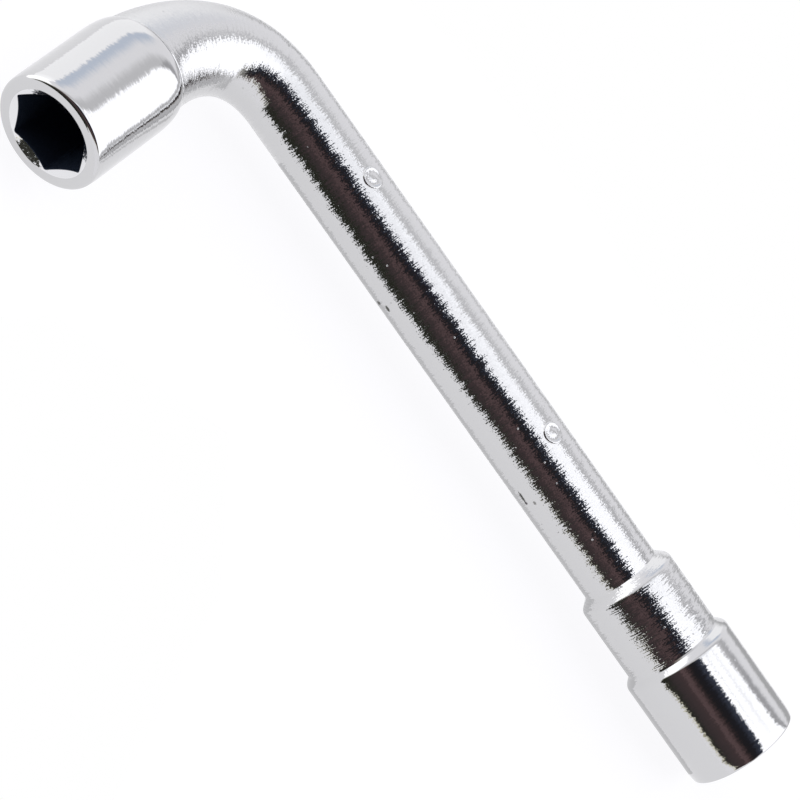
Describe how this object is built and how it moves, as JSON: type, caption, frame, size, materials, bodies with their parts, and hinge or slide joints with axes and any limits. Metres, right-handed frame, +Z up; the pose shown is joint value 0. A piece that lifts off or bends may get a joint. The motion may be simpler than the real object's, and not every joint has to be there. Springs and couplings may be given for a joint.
{
  "type": "lug wrench",
  "caption": "Elbow lug wrench: a solid bent bar with a hexagonal socket on the short arm and a stepped hexagonal socket on the long arm.",
  "frame": {"origin": "on the surface that the wrench lies on, under the centre of its bounding box", "axes": "+X along the long arm towards its mouth, -Y along the short arm towards its mouth, +Z up, across the plane of the two arms"},
  "size_m": [0.225, 0.0738, 0.028],
  "materials": {
    "bar_chrome": "polished chrome plate over finely ground steel",
    "socket_chrome": "polished chrome plate outside, duller inside the recess"
  },
  "bodies": {
    "root": {"bent_handle": "bar_chrome", "short_arm_socket": "socket_chrome", "long_arm_socket": "socket_chrome"}
  },
  "joints": []
}
